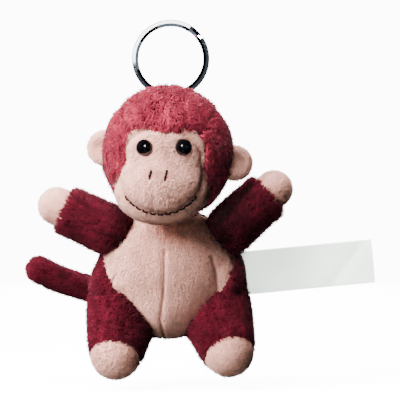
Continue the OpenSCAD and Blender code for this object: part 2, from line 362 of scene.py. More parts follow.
def make_mesh(name, verts, faces, smooth=True):
    """An object from points in millimetres and faces of one size or a list of arrays of faces."""
    groups = faces if isinstance(faces, list) else [faces]
    groups = [np.asarray(g, int) for g in groups if len(g)]
    sizes = np.concatenate([np.full(len(g), g.shape[1]) for g in groups])
    loops = np.concatenate([g.ravel() for g in groups])
    mesh = bpy.data.meshes.new(name)
    mesh.vertices.add(len(verts))
    mesh.vertices.foreach_set("co", (np.asarray(verts) * MM).astype(np.float32).ravel())
    mesh.loops.add(len(loops))
    mesh.loops.foreach_set("vertex_index", loops.astype(np.int32))
    mesh.polygons.add(len(sizes))
    starts = np.concatenate([[0], np.cumsum(sizes)[:-1]])
    mesh.polygons.foreach_set("loop_start", starts.astype(np.int32))
    mesh.polygons.foreach_set("use_smooth", np.full(len(sizes), smooth))
    mesh.update(calc_edges=True)
    return placed(name, mesh)


def point_normals(verts, faces):
    """Normals of a triangle or quad mesh at its points."""
    a, b, c = (verts[faces[:, i]] for i in range(3))
    flat = np.cross(b - a, c - a)
    if faces.shape[1] == 4:
        flat = np.cross(c - a, verts[faces[:, 3]] - b)
    total = np.zeros_like(verts)
    for i in range(faces.shape[1]):
        np.add.at(total, faces[:, i], flat)
    return unit_rows(total)


def wall_quads(rings, sides):
    """The quads of a tube whose points go ring by ring."""
    i, j = np.meshgrid(np.arange(rings - 1), np.arange(sides), indexing="ij")
    i, j = i.ravel(), j.ravel()
    k = (j + 1) % sides
    return np.stack([i * sides + j, i * sides + k, (i + 1) * sides + k, (i + 1) * sides + j], -1)


def capped_faces(rings, sides):
    """A tube's quads, and the triangles to its two end points, which follow its rings."""
    s = np.arange(sides)
    after, last = (s + 1) % sides, (rings - 1) * sides
    tip = np.full(sides, rings * sides)
    start = np.stack([after, s, tip], -1)
    end = np.stack([last + s, last + after, tip + 1], -1)
    return wall_quads(rings, sides), np.concatenate([start, end])


def shell_faces(quads, n):
    """A sheet of n points and its other side, which follows it, closed round the rim."""
    edges = np.concatenate([quads[:, [i, (i + 1) % 4]] for i in range(4)])
    _, first, count = np.unique(np.sort(edges, 1), axis=0, return_index=True, return_counts=True)
    rim = edges[first[count == 1]]
    sides = np.stack([rim[:, 1], rim[:, 0], rim[:, 0] + n, rim[:, 1] + n], -1)
    return np.concatenate([quads, quads[:, ::-1] + n, sides])


def value_noise(p, size, seed):
    """Smooth noise from -1 to 1 at points in millimetres."""
    q = p / size
    cell = np.floor(q).astype(np.int64)
    t = q - cell
    t = t * t * (3 - 2 * t)
    out = np.zeros(len(p))
    for i in (0, 1):
        for j in (0, 1):
            for k in (0, 1):
                c = cell + [i, j, k]
                h = (c[:, 0] * 73856093) ^ (c[:, 1] * 19349663) ^ (c[:, 2] * 83492791)
                h = h ^ (seed * 2654435761)
                h = (h ^ (h >> 13)) * 1274126177 & 0x7FFFFFFF
                weight = np.where(i, t[:, 0], 1 - t[:, 0]) * np.where(j, t[:, 1], 1 - t[:, 1])
                weight = weight * np.where(k, t[:, 2], 1 - t[:, 2])
                out += weight * (h / 0x3FFFFFFF - 1)
    return out


# ---- materials ----


def nodes_of(name):
    material = bpy.data.materials.new(name)
    material.use_nodes = True
    tree = material.node_tree
    return material, tree, tree.nodes["Principled BSDF"]


def set_inputs(node, values):
    for name, value in values.items():
        node.inputs[name].default_value = value


def ramp(tree, source, low, high, start=0.3, end=0.7):
    node = tree.nodes.new("ShaderNodeValToRGB")
    node.color_ramp.elements[0].position = start
    node.color_ramp.elements[0].color = (*low, 1)
    node.color_ramp.elements[1].position = end
    node.color_ramp.elements[1].color = (*high, 1)
    tree.links.new(source, node.inputs["Fac"])
    return node.outputs["Color"]


def noise_node(tree, scale, detail):
    place = tree.nodes.new("ShaderNodeTexCoord")
    node = tree.nodes.new("ShaderNodeTexNoise")
    set_inputs(node, {"Scale": scale, "Detail": detail})
    tree.links.new(place.outputs["Object"], node.inputs["Vector"])
    return node


def bump(tree, shader, height, strength, distance):
    node = tree.nodes.new("ShaderNodeBump")
    set_inputs(node, {"Strength": strength, "Distance": distance})
    tree.links.new(height, node.inputs["Height"])
    tree.links.new(node.outputs["Normal"], shader.inputs["Normal"])


def pile_materials(name, colour, shades, sheen, weight):
    """A few plain shades of one dyed pile, with the colour and weight of its sheen."""
    made = []
    for i, shade in enumerate(shades):
        material, _, shader = nodes_of(f"{name}_{i + 1}")
        set_inputs(shader, {"Base Color": (*[min(1, c * shade) for c in colour], 1)})
        set_inputs(shader, {"Roughness": 0.7, "Specular IOR Level": 0.12, "Sheen Weight": weight})
        set_inputs(shader, {"Sheen Roughness": 0.4, "Sheen Tint": (*sheen, 1)})
        made.append(material)
    return made


CRIMSON = (0.074, 0.0045, 0.012)
# painted light: the head's pile is the same crimson as the body's, painted lighter for the light from
# above that its nap catches
LIT_HEAD_CRIMSON = (0.28, 0.022, 0.046)
PINK = (0.82, 0.42, 0.34)


CRIMSON_PILE = pile_materials("crimson_pile", CRIMSON, (0.5, 0.8, 1.1, 1.6), (0.95, 0.3, 0.38), 0.3)
LIT_HEAD_PILE = pile_materials("lit_head_pile", LIT_HEAD_CRIMSON, (0.5, 0.8, 1.1, 1.4), (1.0, 0.5, 0.56), 0.55)
PINK_PILE = pile_materials("pink_pile", PINK, (0.8, 0.92, 1.03, 1.18), (1.0, 0.85, 0.75), 0.3)


def mottled(name, scale, detail, dark, light, rough, specular=None):
    """A material whose colour wanders between two; gives also its tree, shader and noise."""
    material, tree, shader = nodes_of(name)
    noise = noise_node(tree, scale, detail).outputs["Fac"]
    tree.links.new(ramp(tree, noise, dark, light), shader.inputs["Base Color"])
    set_inputs(shader, {"Roughness": rough})
    if specular is not None:
        set_inputs(shader, {"Specular IOR Level": specular})
    return material, tree, shader, noise


def backing_material(name, dark, light):
    """The knitted backing that the pile stands in."""
    material, tree, shader, fine = mottled(name, 1400, 2, dark, light, 0.95, 0.1)
    bump(tree, shader, fine, 0.5, 0.0004)
    return material


def chrome_material():
    dark, light = (0.74, 0.75, 0.78), (0.88, 0.89, 0.91)
    material, tree, shader, scratches = mottled("chrome", 900, 6, dark, light, 0.03)
    set_inputs(shader, {"Metallic": 1})
    rough = tree.nodes.new("ShaderNodeMapRange")
    set_inputs(rough, {"To Min": 0.015, "To Max": 0.05})
    tree.links.new(scratches, rough.inputs["Value"])
    tree.links.new(rough.outputs["Result"], shader.inputs["Roughness"])
    return material


def ribbon_material():
    dark, light = (0.16, 0.012, 0.022), (0.32, 0.03, 0.05)
    material, tree, shader, weave = mottled("crimson_ribbon", 3000, 2, dark, light, 0.7)
    bump(tree, shader, weave, 0.4, 0.0002)
    return material


def satin_material():
    """White polyester satin: fine slanting ribs and a soft sheen."""
    material, tree, shader = nodes_of("satin")
    place = tree.nodes.new("ShaderNodeTexCoord")
    slant = tree.nodes.new("ShaderNodeMapping")
    set_inputs(slant, {"Rotation": (0, math.radians(40), 0)})
    ribs = tree.nodes.new("ShaderNodeTexWave")
    ribs.bands_direction = "X"
    set_inputs(ribs, {"Scale": 420, "Distortion": 1.0})
    tree.links.new(place.outputs["Object"], slant.inputs["Vector"])
    tree.links.new(slant.outputs["Vector"], ribs.inputs["Vector"])
    colour = ramp(tree, ribs.outputs["Fac"], (0.7, 0.84, 0.74), (0.95, 1, 0.96), 0.1, 0.8)
    tree.links.new(colour, shader.inputs["Base Color"])
    set_inputs(shader, {"Roughness": 0.4, "Sheen Weight": 0.5, "Sheen Roughness": 0.3})
    bump(tree, shader, ribs.outputs["Fac"], 0.4, 0.0001)
    return material


def filling_material():
    dark, light = (0.7, 0.7, 0.67), (0.92, 0.92, 0.9)
    material, tree, shader, fluff = mottled("filling", 700, 8, dark, light, 1)
    bump(tree, shader, fluff, 1, 0.001)
    return material


CRIMSON_BACKING = backing_material("crimson_backing", (0.05, 0.0015, 0.005), (0.09, 0.003, 0.01))
PINK_BACKING = backing_material("pink_backing", (0.6, 0.29, 0.23), (0.74, 0.37, 0.3))
CHROME, RIBBON = chrome_material(), ribbon_material()
SATIN, FILLING = satin_material(), filling_material()
EYE = mottled("black_eye", 300, 2, (0.0008, 0.0008, 0.001), (0.003, 0.003, 0.004), 0.06, 0.4)[0]
THREAD = mottled("dark_thread", 2500, 3, (0.008, 0.003, 0.003), (0.03, 0.01, 0.009), 0.85, 0.1)[0]
WASHER = mottled("white_washer", 500, 3, (0.78, 0.78, 0.76), (0.86, 0.86, 0.85), 0.5)[0]


# ---- cloth: each stuffed form swells between its seams ----

SWELL_FRAMES = 12
CLOTH_SETTINGS = dict(
    quality=5, mass=0.05, tension_stiffness=30, compression_stiffness=30, shear_stiffness=10,
    bending_stiffness=0.2, use_pressure=True, vertex_group_mass="seams", pin_stiffness=1.0,
)


def seam_hold(distance):
    """How firmly a point is held, from 0 to 1, by its distance from the nearest seam."""
    return np.clip(SEAM_HOLD - distance / SEAM_REACH, 0, 1)


def swell(verts, faces, hold, pressure=3.0, cap=0.7):
    """Cloth inflated by its stuffing. Held points stay; no point moves further than the cap."""
    obj = make_mesh("swelling", verts, faces)
    pins = obj.vertex_groups.new(name="seams")
    for level in range(1, 6):
        members = np.where(np.round(hold * 5) == level)[0]
        pins.add(members.tolist(), level / 5, "REPLACE")
    cloth = obj.modifiers.new("cloth", "CLOTH")
    settings = cloth.settings
    for name, value in CLOTH_SETTINGS.items():
        setattr(settings, name, value)
    settings.uniform_pressure_force = pressure
    settings.effector_weights.gravity = 0
    cloth.collision_settings.use_collision = False
    scene = bpy.context.scene
    cloth.point_cache.frame_start = 1
    cloth.point_cache.frame_end = SWELL_FRAMES
    for step in range(1, SWELL_FRAMES + 1):
        scene.frame_set(step)
    graph = bpy.context.evaluated_depsgraph_get()
    shaped = obj.evaluated_get(graph).to_mesh()
    out = np.empty(len(verts) * 3, np.float32)
    shaped.vertices.foreach_get("co", out)
    obj.evaluated_get(graph).to_mesh_clear()
    scene.frame_set(1)
    bpy.data.objects.remove(obj)
    move = out.reshape(-1, 3) / MM - verts
    far = np.linalg.norm(move, axis=1, keepdims=True)
    return verts + move * np.minimum(1, cap / np.maximum(far, 1e-9))


# ---- covers and pile ----


class Panel:
    """One cut piece of plush: the CAD node it stands for, its body, colour and pile."""

    def __init__(self, node, body, pink, length, keep, seed, tone=0.0):
        self.node, self.body, self.pink = node, body, pink
        self.length, self.keep, self.seed, self.tone = length, keep, seed, tone


def cover(panel, verts, faces, normals):
    """The fabric: a closed shell, its outside on the form, its inside a cloth's thickness below."""
    centres = verts[faces].mean(1)
    chosen = faces[panel.keep(centres)]
    used = np.unique(chosen)
    renumber = np.full(len(verts), -1)
    renumber[used] = np.arange(len(used))
    chosen = renumber[chosen]
    outer, inner = verts[used], verts[used] - normals[used] * CLOTH
    both = np.concatenate([outer, inner])
    obj = make_mesh(panel.node + "_cover", both, shell_faces(chosen, len(used)))
    obj.data.materials.append(PINK_BACKING if panel.pink else CRIMSON_BACKING)
    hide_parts(panel.node)
    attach(obj, panel.body)


TUFTS_PER_MM2 = 7.5
ROOT_DEPTH = 0.25  # how deep a tuft stands in the backing
LEAN_LOW, LEAN_TOP = 0.7, 1.35  # shares of a tuft's lean in its lower and upper halves
HALF_TUFT = 0.55
# the panels with long pile, brushed flat
HAIR = ("crown_panel", "head_side_left", "head_side_right", "head_back_panel")


def grow_pile(panel, verts, faces, normals, comb, short):
    """Tufts of pile: closed spikes that start in the backing and lean the way it is brushed."""
    rng = np.random.default_rng(panel.seed)
    centres = verts[faces].mean(1)
    chosen = faces[panel.keep(centres)]
    tri = np.concatenate([chosen[:, [0, 1, 2]], chosen[:, [0, 2, 3]]])
    a, b, c = verts[tri[:, 0]], verts[tri[:, 1]], verts[tri[:, 2]]
    area = np.linalg.norm(np.cross(b - a, c - a), axis=1) / 2
    count = int(area.sum() * TUFTS_PER_MM2 * (1.1 if panel.pink else 0.8))
    face = rng.choice(len(tri), count, p=area / area.sum())
    u, v = rng.random(count), rng.random(count)
    flip = u + v > 1
    u[flip], v[flip] = 1 - u[flip], 1 - v[flip]
    w = 1 - u - v
    root = a[face] * w[:, None] + b[face] * u[:, None] + c[face] * v[:, None]
    up = sum(normals[tri[face, i]] * weight[:, None] for i, weight in enumerate((w, u, v)))
    up = unit_rows(up)
    scale = short(root)
    alive = scale > 0.12
    root, up, scale = root[alive], up[alive], scale[alive]
    n = len(root)

    brushed = comb(root)
    along = brushed.mean(0)
    along /= max(np.linalg.norm(along), 1e-6)
    strand = root - 0.72 * (root @ along)[:, None] * along  # long cells along the brushing
    swirl = np.stack([value_noise(root, 6.0, panel.seed + i) for i in range(3)], -1)
    fine = np.stack([value_noise(strand, 1.5, panel.seed + 10 + i) for i in range(3)], -1)
    brushed = brushed + 0.4 * swirl + 0.5 * fine + 0.3 * rng.normal(size=(n, 3))
    brushed -= (brushed * up).sum(1, keepdims=True) * up
    brushed = unit_rows(brushed)
    lean = (1.0 if panel.node in HAIR else 0.6 if panel.pink else 0.78) + 0.14 * rng.normal(size=n)
    lean += (0.22 if panel.pink else 0.36) * value_noise(strand, 1.7, panel.seed + 20)
    lean = np.clip(lean, 0.15, 1.25)[:, None]
    low = up * np.cos(lean * LEAN_LOW) + brushed * np.sin(lean * LEAN_LOW)
    top = up * np.cos(lean * LEAN_TOP) + brushed * np.sin(lean * LEAN_TOP)
    length = (panel.length * scale * rng.uniform(0.72, 1.15, n))[:, None]
    thick = (0.19 if panel.pink else 0.24) * rng.uniform(0.8, 1.25, n)[:, None]
    side = unit_rows(np.cross(low, rng.normal(size=(n, 3))))
    other = np.cross(low, side)

    base = root - up * ROOT_DEPTH
    bend = base + low * length * HALF_TUFT
    points = []
    for centre, width in ((base, thick), (bend, thick * 0.85)):
        for k in range(3):
            turn = 2 * math.pi * k / 3
            points.append(centre + width * (side * math.cos(turn) + other * math.sin(turn)))
    points.append(bend + top * length * HALF_TUFT)
    verts_out = np.stack(points, 1).reshape(-1, 3)
    start = np.arange(n)[:, None] * 7
    quads = np.concatenate([start + [k, (k + 1) % 3, 3 + (k + 1) % 3, 3 + k] for k in range(3)])
    tips = np.concatenate([start + [3 + k, 3 + (k + 1) % 3, 6] for k in range(3)])
    feet = start + [2, 1, 0]
    obj = make_mesh(panel.node + "_pile", verts_out, [quads, tips, feet])
    # the head takes the lit copy of the crimson pile, painted lighter for light from above
    crimson_or_lit_pile = LIT_HEAD_PILE if panel.body == "head" else CRIMSON_PILE
    for material in PINK_PILE if panel.pink else crimson_or_lit_pile:
        obj.data.materials.append(material)
    # panel.tone shifts a whole panel's tufts to lighter or darker shade slots, which on the sleeves
    # and feet is painted light and shade; the noise and random terms are the pile's own uneven tone
    tone = 1.5 + panel.tone + 1.3 * value_noise(strand, 1.3, panel.seed + 30)
    tone += 0.7 * value_noise(root, 4.0, panel.seed + 40)
    tone += 0.35 * rng.normal(size=n)
    shade = np.clip(np.round(tone), 0, 3).astype(np.int32)
    slots = np.concatenate([np.tile(shade, 3), np.tile(shade, 3), shade])
    obj.data.polygons.foreach_set("material_index", slots)
    own = point_directions(points)
    own_share = 0.35 if panel.pink else 0.55
    soft = unit_rows((1 - own_share) * np.repeat(up, 7, axis=0) + own_share * own)
    obj.data.normals_split_custom_set_from_vertices(soft.tolist())
    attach(obj, panel.body)


def point_directions(points):
    """Outward directions at the seven points of each tuft."""
    base, bend = sum(points[:3]) / 3, sum(points[3:6]) / 3
    out = [p - base for p in points[:3]] + [p - bend for p in points[3:6]] + [points[6] - bend]
    return unit_rows(np.stack(out, 1)).reshape(-1, 3)


def brush(direction):
    """Pile brushed in one direction, kept along the surface."""
    d = np.asarray(direction, float)

    return lambda p: np.broadcast_to(d, p.shape).copy()


def filling(name, node, body, verts, faces, normals, inset=CLOTH + 0.45):
    """Loose polyester fibre: the form a little smaller, and lumpy."""
    lumps = value_noise(verts, 4.0, 5) * 0.25 + value_noise(verts, 1.8, 6) * 0.12
    obj = make_mesh(name, verts - normals * (inset - lumps[:, None]), faces)
    obj.data.materials.append(FILLING)
    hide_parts(node)
    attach(obj, body)


def dress(panels, verts, faces, comb, short):
    """A cover and pile for each panel of a form; comb brushes the pile and short trims it."""
    normals = point_normals(verts, faces)
    for panel in panels:
        cover(panel, verts, faces, normals)
        grow_pile(panel, verts, faces, normals, comb, short)
    return normals


CELL = 0.75


# ---- head ----


def eye_distance(p):
    return np.minimum(*[np.linalg.norm(p - eye_place(s)[0], axis=1) for s in ("left", "right")])


def on_muzzle(x, z, lift):
    """A point on the front of the head, a little proud of the fabric."""
    p = np.array([[x, -60.0, z]])
    for _ in range(60):
        p[0, 1] += max(float(head_sdf(p)[0]) * 0.9, -1.0)
    return (p + gradient(head_sdf, p) * lift)[0]


def make_head():
    low = SKULL_C - SKULL_HALF - 3
    high = SKULL_C + SKULL_HALF + 3
    low[1] = MUZZLE_C[1] - MUZZLE_HALF[1] - 3
    low[2] = min(low[2], MUZZLE_C[2] - MUZZLE_HALF[2] - 3)
    verts, faces = surface_net(head_sdf, low, high, CELL)
    front = verts[:, 1] < FACE_BACK_Y
    outline = face_outline(verts)
    face_edge = np.where(front, np.abs(outline), 9)
    in_face = front & (outline < 0)
    wedge_edge = np.where(in_face | (verts[:, 1] > BACK_SEAM_Y), 9, np.abs(crown_wedge(verts)))
    back_edge = np.abs(verts[:, 1] - BACK_SEAM_Y)
    mouth_edge = np.where(in_face, np.abs(mouth_line(verts)), 9)
    under_nose = in_face & (verts[:, 2] < -57.5) & (mouth_line(verts) < 0)
    nose_edge = np.where(under_nose, np.abs(verts[:, 0] + 5.8), 9)
    seams = np.minimum.reduce([face_edge, wedge_edge, back_edge])
    verts = swell(verts, faces, seam_hold(seams))
    normals = point_normals(verts, faces)
    sink = groove(face_edge, 1.1, 0.75) + groove(wedge_edge, 1.0, 0.6) + groove(back_edge, 1.0, 0.55)
    sink += groove(mouth_edge, 1.3, 1.25) + groove(nose_edge, 0.9, 0.35)
    sink += groove(eye_distance(verts), 3.1, 0.6)
    lip = mouth_line(verts)
    sink -= np.where(in_face, groove(lip - 3.2, 2.2, 0.7), 0)
    verts = verts - normals * sink[:, None]

    def in_front(p):
        return (p[:, 1] < FACE_BACK_Y) & (face_outline(p) < 0)

    def back(p):
        return p[:, 1] > BACK_SEAM_Y

    def chin(p):
        return in_front(p) & (mouth_line(p) > 0) & (p[:, 2] < MOUTH_C[1] - 6)

    def face(p):
        return in_front(p) & ~chin(p)

    def crown(p):
        return ~in_front(p) & ~back(p) & (crown_wedge(p) < 0)

    def side(sign):
        return lambda p: (
            ~in_front(p) & ~back(p) & (crown_wedge(p) >= 0) & (sign * (p[:, 0] - SKULL_C[0]) >= 0)
        )

    panels = [
        Panel("crown_panel", "head", False, 2.8, crown, 11),
        Panel("head_side_left", "head", False, 2.5, side(-1), 12),
        Panel("head_side_right", "head", False, 2.5, side(1), 13),
        Panel("head_back_panel", "head", False, 2.5, back, 14),
        Panel("face_panel", "head", True, 1.15, face, 15),
        Panel("chin_panel", "head", True, 1.2, chin, 16),
    ]
    t = np.linspace(0, 1, 5)[:, None]
    marks = np.concatenate([a + (b - a) * t for a, b in nostril_lines() + mouth_lines()])

    def short(p):
        near_mark = np.min(np.linalg.norm(p[:, None] - marks[None], axis=2), axis=1)
        trim = np.clip((near_mark - 0.35) / 1.0, 0.3, 1)
        near_eye = np.clip((eye_distance(p) - EYE_R + 0.6) / 1.6, 0, 1)
        loop = np.hypot(p[:, 1], p[:, 2] - LOOP_Z)
        clear = np.where(np.abs(p[:, 0]) < 3.2, np.clip((loop - 2.9) / 1.6, 0, 1), 1)
        return trim * near_eye * clear

    def comb(p):
        # brushed forward and down over the crown, and outwards over the muzzle
        out = p - SKULL_C
        out[:, 1] = 0
        out = unit_rows(out)
        is_face = in_front(p)[:, None]
        return np.where(is_face, out * 0.5 + [0, 0, -0.8], [0.3, -0.5, -1.0] + out * 0.15)

    normals = dress(panels, verts, faces, comb, short)
    filling("head_filling", "head_stuffing", "head", verts, faces, normals)


def nostril_lines():
    """The two ends of each nostril's stitch."""
    return [
        (on_muzzle(x - 0.4, low, 0.75), on_muzzle(x + 0.45, -53.2, 0.75))
        for x, low in ((-6.8, -56.4), (-1.4, -56.9))
    ]


def mouth_lines():
    """The two ends of each stitch of the smile."""
    count = 11
    step = 2 * MOUTH_REACH / count
    lines = []
    for i in range(count):
        ends = []
        for a in (-90 - MOUTH_REACH + i * step + 0.6, -90 - MOUTH_REACH + (i + 1) * step - 0.8):
            x = MOUTH_C[0] + MOUTH_R * math.cos(math.radians(a))
            z = MOUTH_C[1] + MOUTH_R * math.sin(math.radians(a))
            ends.append(on_muzzle(x, z, 0.35))
        lines.append(tuple(ends))
    return lines


def tube(line, radius, sides):
    """Points and faces of a closed tube along a line. radius may differ along it."""
    line = np.asarray(line, float)
    radius = np.broadcast_to(radius, len(line))
    ahead = unit_rows(np.gradient(line, axis=0))
    first = unit_rows(np.cross(ahead, [0.0, 0.0, 1.0]))
    second = np.cross(ahead, first)
    turn = np.arange(sides) * 2 * math.pi / sides
    ring = first[:, None] * np.cos(turn)[None, :, None]
    ring = ring + second[:, None] * np.sin(turn)[None, :, None]
    points = (line[:, None] + ring * radius[:, None, None]).reshape(-1, 3)
    points = np.concatenate([points, line[:1], line[-1:]])
    return points, *capped_faces(len(line), sides)


def join(parts):
    """Several tubes as one set of points, quads and triangles."""
    points, quads, tris, start = [], [], [], 0
    for p, q, t in parts:
        points.append(p)
        quads.append(q + start)
        tris.append(t + start)
        start += len(p)
    return np.concatenate(points), [np.concatenate(quads), np.concatenate(tris)]


def stitches(name, node, lines, radius):
    """Embroidery thread: a stitch is two plies twisted together, its ends sunk in the fabric."""
    parts = []
    for a, b in lines:
        mid = (a + b) / 2
        out = gradient(head_sdf, mid[None])[0]
        length = np.linalg.norm(b - a)
        t = np.linspace(0, 1, 17)
        arc = a + (b - a) * t[:, None] + out * (np.sin(np.pi * t) ** 0.6 - 1)[:, None] * 0.75
        along = (b - a) / length
        side = np.cross(along, out)
        for ply in (0, math.pi):
            turn = t * length * 2.4 + ply
            wind = side * np.cos(turn)[:, None] + out * np.sin(turn)[:, None]
            width = radius * np.clip(np.sin(np.pi * t) * 4, 0.35, 1)
            parts.append(tube(arc + wind * radius * 0.55, width * 0.72, 8))
    points, faces = join(parts)
    obj = make_mesh(name, points, faces)
    obj.data.materials.append(THREAD)
    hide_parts(node)
    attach(obj, "head")


def lathe(profile, sides=48):
    """A closed turned form round +Z from (radius, height) pairs that start and end on the axis."""
    profile = np.asarray(profile, float)
    inner = profile[1:-1]
    turn = np.arange(sides) * 2 * math.pi / sides
    ring = np.stack([np.outer(inner[:, 0], np.cos(turn)), np.outer(inner[:, 0], np.sin(turn))], -1)
    height = np.broadcast_to(inner[:, 1:2], ring.shape[:2])
    points = np.concatenate([ring, height[..., None]], -1).reshape(-1, 3)
    points = np.concatenate([points, [[0, 0, profile[0, 1]], [0, 0, profile[-1, 1]]]])
    return points, *capped_faces(len(inner), sides)


def facing(points, centre, out):
    """Turns +Z onto out and moves to centre."""
    out = unit(out)
    side = unit(np.cross([0, 0, 1.0], out))
    up = np.cross(out, side)
    return centre + points @ np.array([side, up, out])


def make_eyes():
    dome = [(EYE_R * math.sin(a), 0.75 * EYE_R * math.cos(a)) for a in np.linspace(0, math.pi / 2, 16)]
    rim = [(EYE_R - 0.02, -0.25), (EYE_R - 0.25, -0.5), (1.5, -0.55)]
    ribs = []
    for i in range(6):  # the shank's locking ribs
        z = -1.2 - i * 0.6
        ribs += [(1.25, z + 0.15), (1.4, z), (1.25, z - 0.15)]
    profile = dome + rim + ribs + [(1.1, -5.2), (0, -5.3)]
    for side in ("left", "right"):
        centre, out = eye_place(side)
        points, quads, tris = lathe(profile)
        # lathe faces run from the dome down, so they are turned over to face outwards
        points = facing(points, centre + out * 0.1, out)
        obj = make_mesh(f"eye_{side}_bead", points, [quads[:, ::-1], tris[:, ::-1]])
        obj.data.materials.append(EYE)
        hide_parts(f"eye_{side}")
        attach(obj, "head")
        node = frame["nodes"][f"eye_washer_{side}"]
        node.data.materials.clear()
        node.data.materials.append(WASHER)


def make_ears():
    """The ears are thin and unstuffed: each of the two covers is a whole half of the ear."""
    for side in ("left", "right"):
        centre, lean = EAR_C[side], math.radians(EAR_LEAN[side])
        turn = np.array(
            [[math.cos(lean), math.sin(lean), 0], [-math.sin(lean), math.cos(lean), 0], [0, 0, 1]]
        )

        def ear_sdf(p, centre=centre, turn=turn):
            q = (p - centre) @ turn.T
            body = ellipsoid(q, np.zeros(3), np.array([EAR_R, EAR_T, EAR_R]))
            dish = ellipsoid(q, np.array([0, -3.3, 0]), np.array([4.6, 2.6, 4.6]))
            body = smooth_max(body, -dish, 1.2)
            return smooth_max(body, -(ellipsoid(p, SKULL_C, SKULL_HALF) - 0.1), 0.5)

        reach = np.array([EAR_R + 1.5, EAR_T + 2.5, EAR_R + 1.5])
        verts, faces = surface_net(ear_sdf, centre - reach, centre + reach, CELL * 0.6)
        depth = ((verts - centre) @ turn.T)[:, 1]
        normals = point_normals(verts, faces)
        verts = verts - normals * groove(depth, 0.5, 0.25)[:, None]

        def front(p, centre=centre, turn=turn):
            return ((p - centre) @ turn.T)[:, 1] < 0

        def behind(p, front=front):
            return ~front(p)

        def clear(p):
            return np.clip(ellipsoid(p, SKULL_C, SKULL_HALF) / 0.8, 0, 1)

        panels = [
            Panel(f"ear_{side}_front", "head", True, 0.85, front, 21 + SIDE[side]),
            Panel(f"ear_{side}_back", "head", True, 0.95, behind, 25 + SIDE[side]),
        ]
        dress(panels, verts, faces, brush((SIDE[side], 0, -0.3)), clear)


# ---- torso ----


# seams sewn into the belly, seen from the front: places, half width and depth
DARTS = [
    (((-1.9, -81.8), (-2.2, -90.0), (-2.4, -98.2), (-3.6, -106.5), (-2.4, -113.5)), 0.7, 0.6),
    (((14.9, -84.1), (16.4, -90.0), (17.1, -96.5)), 1.0, 0.6),
    (((-19.7, -90.7), (-21.4, -93.8)), 0.8, 0.6),
]


def line_distance(p, line):
    """How far points are from a bent line, seen from the front."""
    near = np.full(len(p), 9.0)
    for a, b in zip(line[:-1], line[1:]):
        a, b = np.array(a), np.array(b)
        q = p[:, [0, 2]] - a
        t = np.clip(q @ (b - a) / ((b - a) @ (b - a)), 0, 1)
        near = np.minimum(near, np.linalg.norm(q - t[:, None] * (b - a), axis=1))
    return near


def make_torso():
    reach = TORSO_HALF + 5
    verts, faces = surface_net(torso_sdf, TORSO_C - reach, TORSO_C + reach, CELL)
    body = torso_body(verts)
    outside = np.clip(1 + body / 0.8, 0, 1)
    front = verts[:, 1] < TORSO_C[1]
    outline = belly_outline(verts)
    belly_edge = np.where(front, np.abs(outline), 9)
    in_belly = front & (outline < 0)
    back_edge = np.where(in_belly, 9, np.abs(verts[:, 0] - TORSO_C[0]))
    side_edge = np.where(outline < 0, np.abs(verts[:, 1] - TORSO_C[1]), 9)
    seams = np.minimum.reduce([belly_edge, back_edge, side_edge])
    verts = swell(verts, faces, np.maximum(seam_hold(seams), 1 - outside))
    normals = point_normals(verts, faces)
    sink = groove(belly_edge, 1.1, 0.7) + groove(back_edge, 1.0, 0.6) + groove(side_edge, 1.0, 0.5)
    for line, width, depth in DARTS:
        sink += np.where(in_belly, groove(line_distance(verts, line), width, depth), 0)
    sink = sink * outside
    verts = verts - normals * sink[:, None]

    def belly(p):
        return (p[:, 1] < TORSO_C[1]) & (belly_outline(p) < 0)

    def back(sign):
        return lambda p: ~belly(p) & (sign * (p[:, 0] - TORSO_C[0]) >= 0)

    panels = [
        Panel("belly_panel", "torso", True, 1.25, belly, 31),
        Panel("back_panel_left", "torso", False, 2.0, back(-1), 32),
        Panel("back_panel_right", "torso", False, 2.0, back(1), 33),
    ]

    def short(p):
        shown = np.where(torso_body(p) > -1.2, 1.0, 0.0)
        seam = np.min([line_distance(p, line) for line, _, _ in DARTS], axis=0)
        seam = np.where(p[:, 1] < TORSO_C[1], seam, 9)
        return shown * np.clip(seam / 0.9, 0.35, 1)

    dress(panels, verts, faces, brush((0, 0, -1)), short)
    # the torso has thin edges round the hips, so its filling is a form of its own
    low, high = TORSO_C - reach, TORSO_C + reach
    verts, faces = surface_net(lambda p: torso_sdf(p) + 2.2, low, high, 1.1)
    normals = point_normals(verts, faces)
    filling("torso_filling", "torso_stuffing", "torso", verts, faces, normals, 0.2)


# ---- limbs ----


def make_limb(body, sdf, a, b, ra, rb, seam_at, panels, shown, flare):
    """A stuffed tube with a cap of another colour past seam_at, where the tube ends wider."""
    pad = max(ra, rb) + 2
    low, high = np.minimum(a, b) - pad, np.maximum(a, b) + pad
    verts, faces = surface_net(sdf, low, high, CELL)
    axis = unit(b - a)
    along = (verts - a) @ axis
    edge = np.abs(along - seam_at)
    verts = swell(verts, faces, seam_hold(edge), cap=0.35)
    normals = point_normals(verts, faces)
    wrinkle = 0.3 * value_noise(verts, 5.0, 77) * np.exp(-np.clip(along, 0, None) / 9)
    past = 1 / (1 + np.exp(-(along - seam_at) / 0.25))
    step = flare * (np.exp(-np.clip(seam_at - along, 0, None) / 9) * (1 - past) - 0.6 * past)
    verts = verts - normals * (groove(edge, 0.8, 0.5) - wrinkle - step)[:, None]

    normals = dress(panels, verts, faces, brush(axis), shown)
    filling(f"{body}_filling", f"{body}_stuffing", body, verts, faces, normals)


def parted(a, b, at):
    """Which places lie before the seam across a limb, and which lie past it."""
    axis = unit(b - a)
    return (lambda p: (p - a) @ axis <= at), (lambda p: (p - a) @ axis > at)


